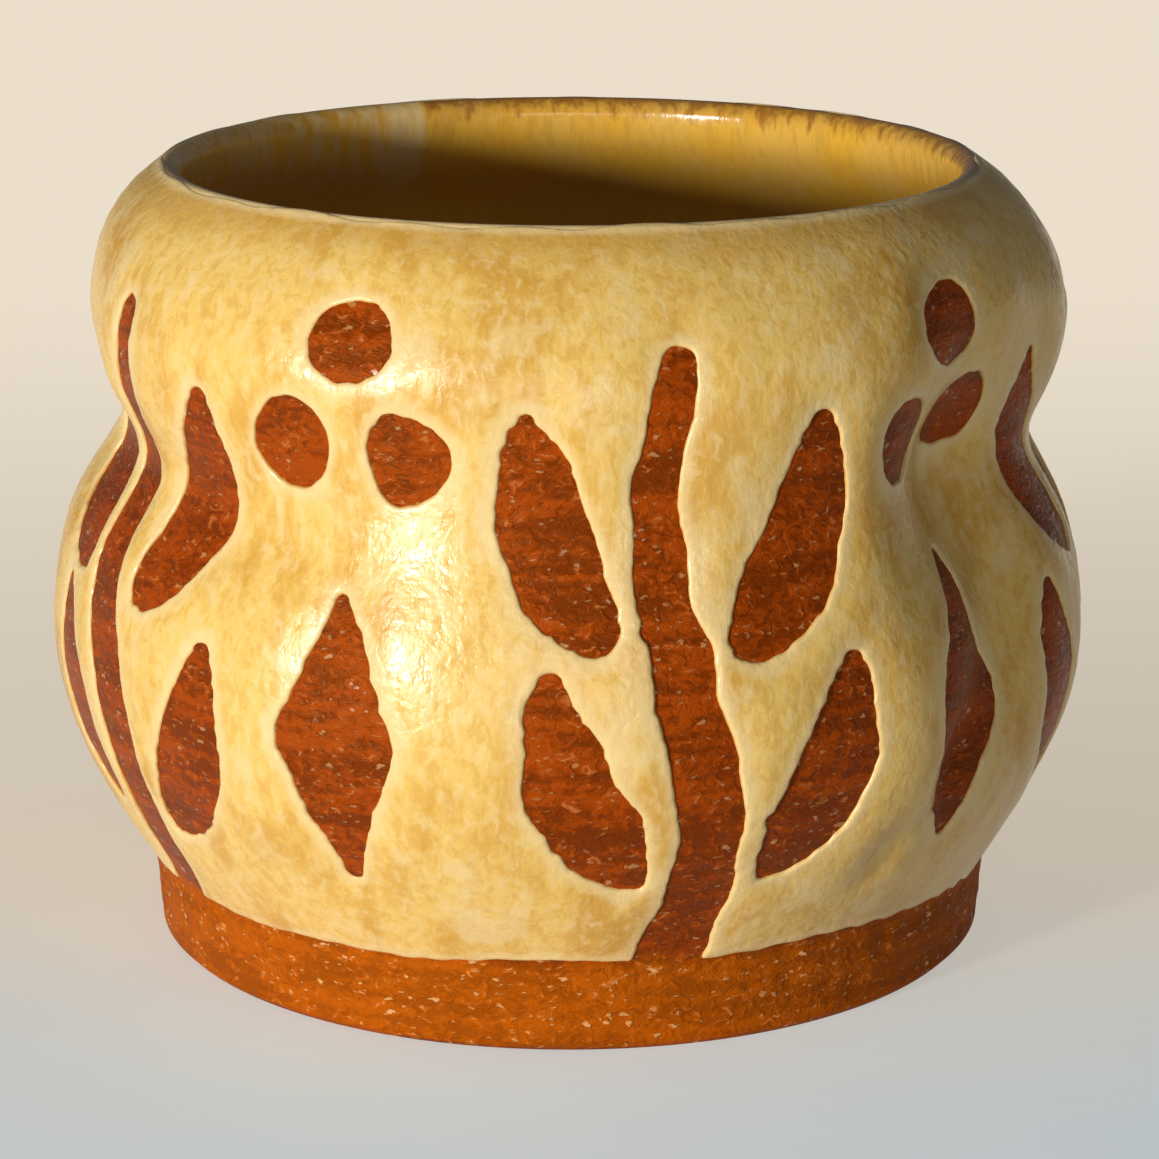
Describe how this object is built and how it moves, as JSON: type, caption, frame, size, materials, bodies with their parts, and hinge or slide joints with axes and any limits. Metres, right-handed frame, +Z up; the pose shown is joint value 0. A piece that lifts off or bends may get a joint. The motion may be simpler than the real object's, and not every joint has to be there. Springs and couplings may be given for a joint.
{
  "type": "espresso cup",
  "caption": "Small hand-thrown stoneware cup without a handle, pressed in at the waist, with a bare clay foot, cream outer glaze and amber liner.",
  "frame": {"origin": "on the table, under the middle of the cup", "axes": "+Z up out of the mouth; the pictured side faces -Y, with +X to its right"},
  "size_m": [0.0728, 0.0727, 0.0542],
  "materials": {
    "red_clay": "bare red-brown stoneware with pale grog specks",
    "cream_glaze": "thick satin cream glaze, ochre where thin",
    "amber_glaze": "glossy amber liner glaze, brown at the lip"
  },
  "bodies": {
    "root": {"clay_body": "red_clay", "outer_glaze": "cream_glaze", "inner_glaze": "amber_glaze"}
  },
  "joints": []
}
